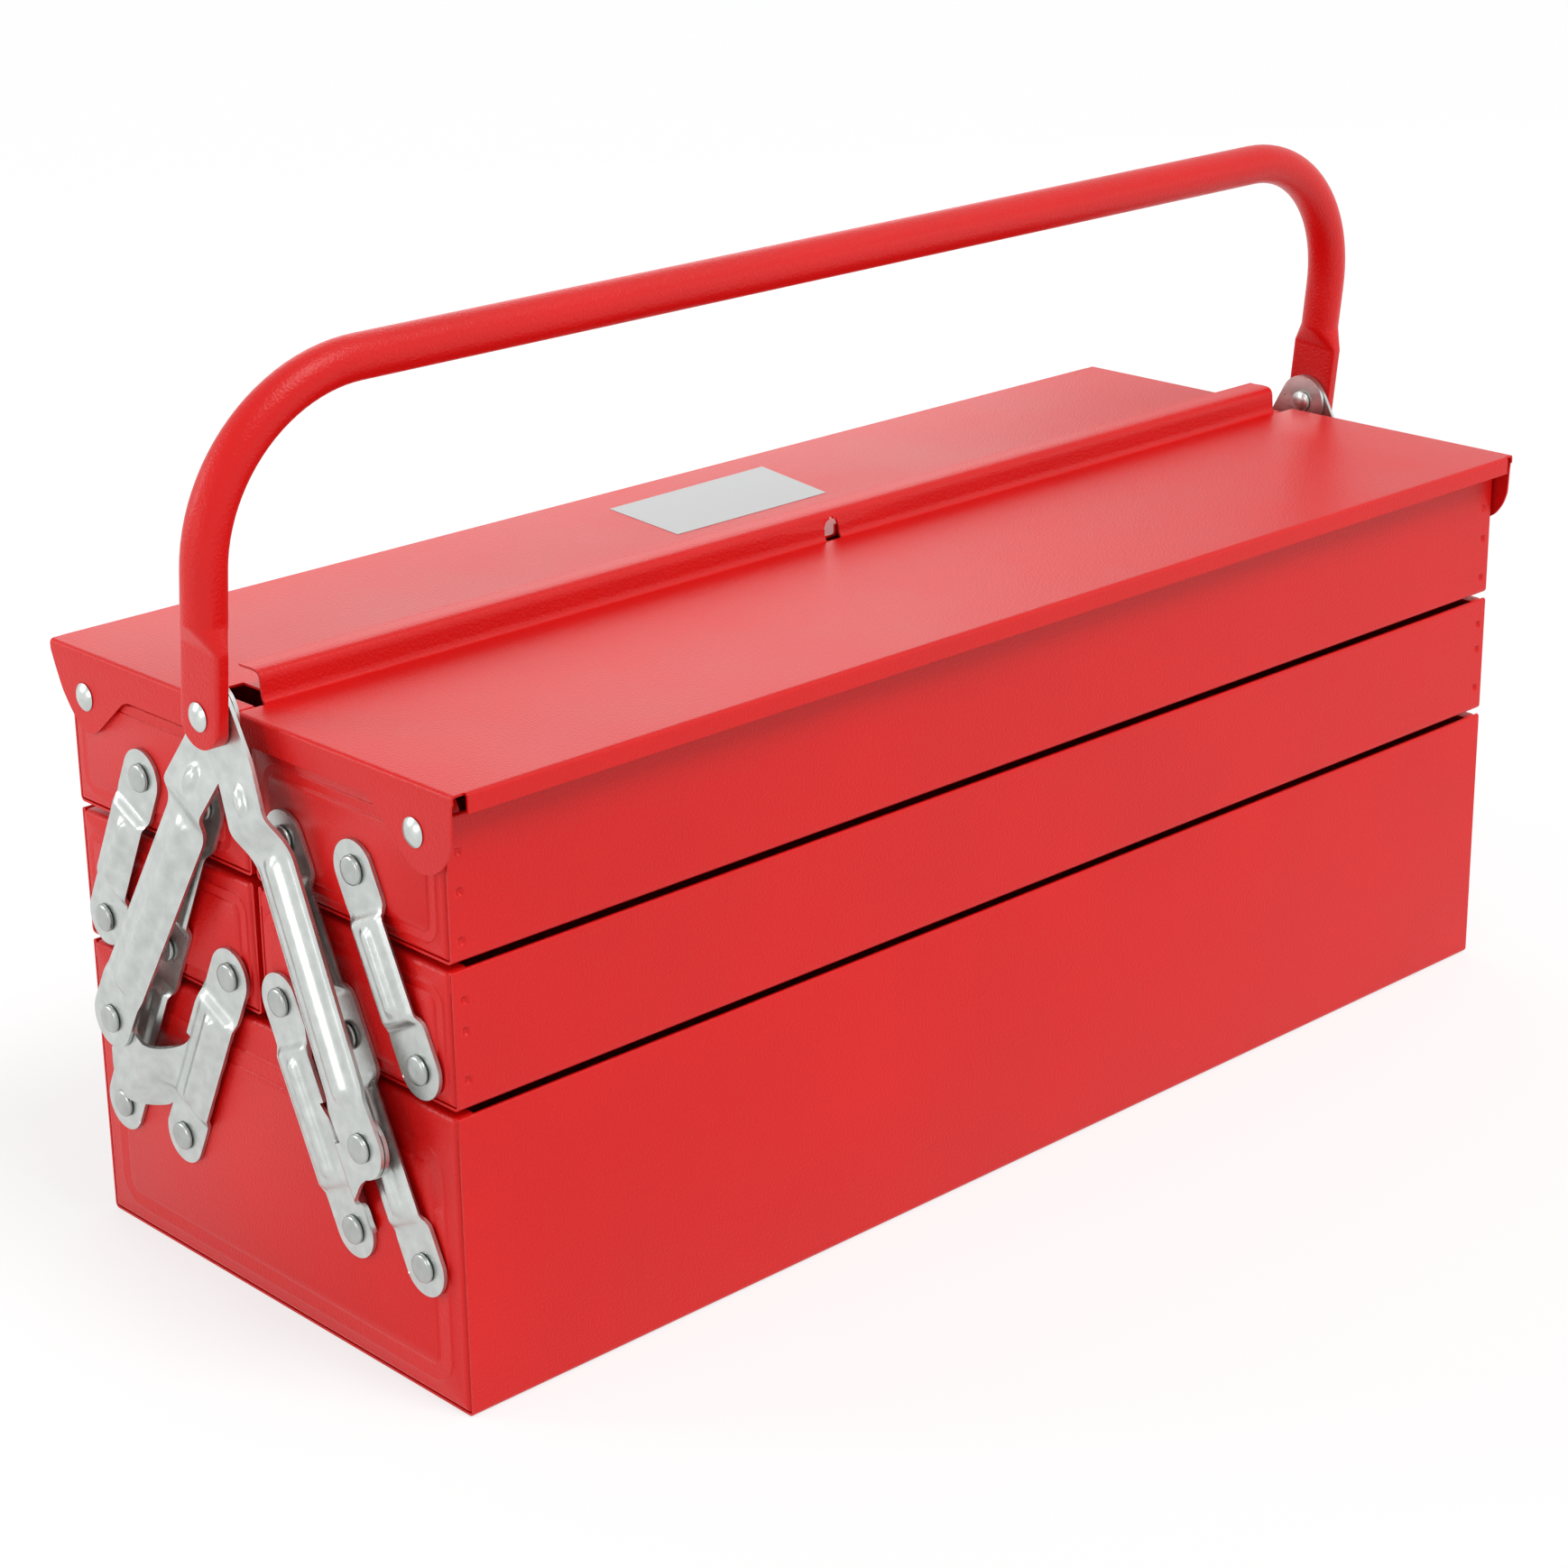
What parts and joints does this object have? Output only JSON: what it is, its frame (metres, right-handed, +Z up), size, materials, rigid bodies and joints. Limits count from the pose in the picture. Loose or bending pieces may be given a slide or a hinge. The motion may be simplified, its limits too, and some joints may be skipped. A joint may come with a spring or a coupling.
{
  "type": "cantilever tool box",
  "caption": "Red sheet-steel cantilever tool box: a base tray, middle and top trays that fold outwards on end links, two hinged lids and a swinging tube handle.",
  "frame": {"origin": "centre of the base tray's underside", "axes": "+X along the length to the right, +Y to the rear, +Z up"},
  "size_m": [0.606, 0.234, 0.3494],
  "materials": {
    "red_paint": "satin powder coat with a fine texture",
    "zinc_plate": "zinc-plated pressed steel, satin and slightly mottled",
    "set_rivet": "zinc-plated, set flat",
    "bright_rivet": "polished domed heads"
  },
  "bodies": {
    "base": {"base_pan": "red_paint", "base_end_left": "red_paint", "base_end_right": "red_paint", "base_rivets": "set_rivet"},
    "front_long_links": {"long_link_front_left": "zinc_plate", "long_link_front_right": "zinc_plate"},
    "front_link_plates": {"link_plate_front_left": "zinc_plate", "link_plate_front_right": "zinc_plate", "arm_rivet_front_left": "set_rivet", "arm_rivet_front_right": "set_rivet"},
    "front_mid_tray": {"mid_pan_front": "red_paint", "mid_end_front_left": "red_paint", "mid_end_front_right": "red_paint", "mid_rivets_front": "set_rivet"},
    "front_short_links": {"short_link_front_left": "zinc_plate", "short_link_front_right": "zinc_plate"},
    "front_top_tray": {"top_pan_front": "red_paint", "top_end_front_left": "red_paint", "top_end_front_right": "red_paint", "top_rivets_front": "set_rivet", "lid_rivets_front": "bright_rivet"},
    "front_lid": {"lid_front": "red_paint"},
    "front_handle_arms": {"handle_arm_front_left": "zinc_plate", "handle_arm_front_right": "zinc_plate"},
    "rear_long_links": {"long_link_rear_left": "zinc_plate", "long_link_rear_right": "zinc_plate"},
    "rear_link_plates": {"link_plate_rear_left": "zinc_plate", "link_plate_rear_right": "zinc_plate", "arm_rivet_rear_left": "set_rivet", "arm_rivet_rear_right": "set_rivet"},
    "rear_mid_tray": {"mid_pan_rear": "red_paint", "mid_end_rear_left": "red_paint", "mid_end_rear_right": "red_paint", "mid_rivets_rear": "set_rivet"},
    "rear_short_links": {"short_link_rear_left": "zinc_plate", "short_link_rear_right": "zinc_plate"},
    "rear_top_tray": {"top_pan_rear": "red_paint", "top_end_rear_left": "red_paint", "top_end_rear_right": "red_paint", "top_rivets_rear": "set_rivet", "lid_rivets_rear": "bright_rivet"},
    "rear_lid": {"lid_rear": "red_paint"},
    "rear_handle_arms": {"handle_arm_rear_left": "zinc_plate", "handle_arm_rear_right": "zinc_plate"},
    "handle_pivots": {"handle_rivets": "bright_rivet"},
    "handle": {"handle": "red_paint"}
  },
  "joints": [
    {"name": "open", "type": "hinge", "parent": "base", "child": "front_long_links", "pos_m": [0, -0.0895, 0.051], "axis": [1, 0, 0], "range_deg": [0, 55]},
    {"name": "front_plate_turn", "type": "hinge", "parent": "base", "child": "front_link_plates", "pos_m": [0, -0.05095, 0.051], "axis": [1, 0, 0], "range_deg": [0, 55]},
    {"name": "front_mid_level", "type": "hinge", "parent": "front_long_links", "child": "front_mid_tray", "pos_m": [0, -0.05365, 0.1245], "axis": [1, 0, 0], "range_deg": [-55, 0]},
    {"name": "front_top_level", "type": "hinge", "parent": "front_long_links", "child": "front_top_tray", "pos_m": [0, -0.02341, 0.1865], "axis": [1, 0, 0], "range_deg": [-55, 0]},
    {"name": "front_short_turn", "type": "hinge", "parent": "front_mid_tray", "child": "front_short_links", "pos_m": [0, -0.0922, 0.1245], "axis": [1, 0, 0], "range_deg": [0, 55]},
    {"name": "front_arm_turn", "type": "hinge", "parent": "front_link_plates", "child": "front_handle_arms", "pos_m": [0, -0.07396, 0.09404], "axis": [1, 0, 0], "range_deg": [-66.62, 0]},
    {"name": "lid_front", "type": "hinge", "parent": "front_top_tray", "child": "front_lid", "pos_m": [0, -0.095, 0.2085], "axis": [1, 0, 0], "range_deg": [0, 80]},
    {"name": "rear_open", "type": "hinge", "parent": "base", "child": "rear_long_links", "pos_m": [0, 0.0895, 0.051], "axis": [1, 0, 0], "range_deg": [-55, 0]},
    {"name": "rear_plate_turn", "type": "hinge", "parent": "base", "child": "rear_link_plates", "pos_m": [0, 0.05095, 0.051], "axis": [1, 0, 0], "range_deg": [-55, 0]},
    {"name": "rear_mid_level", "type": "hinge", "parent": "rear_long_links", "child": "rear_mid_tray", "pos_m": [0, 0.05365, 0.1245], "axis": [1, 0, 0], "range_deg": [0, 55]},
    {"name": "rear_top_level", "type": "hinge", "parent": "rear_long_links", "child": "rear_top_tray", "pos_m": [0, 0.02341, 0.1865], "axis": [1, 0, 0], "range_deg": [0, 55]},
    {"name": "rear_short_turn", "type": "hinge", "parent": "rear_mid_tray", "child": "rear_short_links", "pos_m": [0, 0.0922, 0.1245], "axis": [1, 0, 0], "range_deg": [-55, 0]},
    {"name": "rear_arm_turn", "type": "hinge", "parent": "rear_link_plates", "child": "rear_handle_arms", "pos_m": [0, 0.07396, 0.09404], "axis": [1, 0, 0], "range_deg": [0, 66.62]},
    {"name": "lid_rear", "type": "hinge", "parent": "rear_top_tray", "child": "rear_lid", "pos_m": [0, 0.095, 0.2085], "axis": [1, 0, 0], "range_deg": [-80, 0]},
    {"name": "handle_drop", "type": "slide", "parent": "base", "child": "handle_pivots", "axis": [0, 0, 1], "range_m": [-0.0549, 0]},
    {"name": "handle_swing", "type": "hinge", "parent": "handle_pivots", "child": "handle", "pos_m": [0, 0, 0.228], "axis": [1, 0, 0], "range_deg": [-53, 41]}
  ],
  "couplings": [
    {"joint": "front_plate_turn", "follows": "open", "ratio": 1},
    {"joint": "front_mid_level", "follows": "open", "ratio": -1},
    {"joint": "front_top_level", "follows": "open", "ratio": -1},
    {"joint": "front_short_turn", "follows": "open", "ratio": 1},
    {"joint": "front_arm_turn", "follows": "open", "ratio": -1.2111},
    {"joint": "rear_open", "follows": "open", "ratio": -1},
    {"joint": "rear_plate_turn", "follows": "open", "ratio": -1},
    {"joint": "rear_mid_level", "follows": "open", "ratio": 1},
    {"joint": "rear_top_level", "follows": "open", "ratio": 1},
    {"joint": "rear_short_turn", "follows": "open", "ratio": -1},
    {"joint": "rear_arm_turn", "follows": "open", "ratio": 1.2111},
    {"joint": "lid_rear", "follows": "lid_front", "ratio": -1},
    {"joint": "handle_drop", "follows": "open", "m_per_rad": -0.05712}
  ]
}
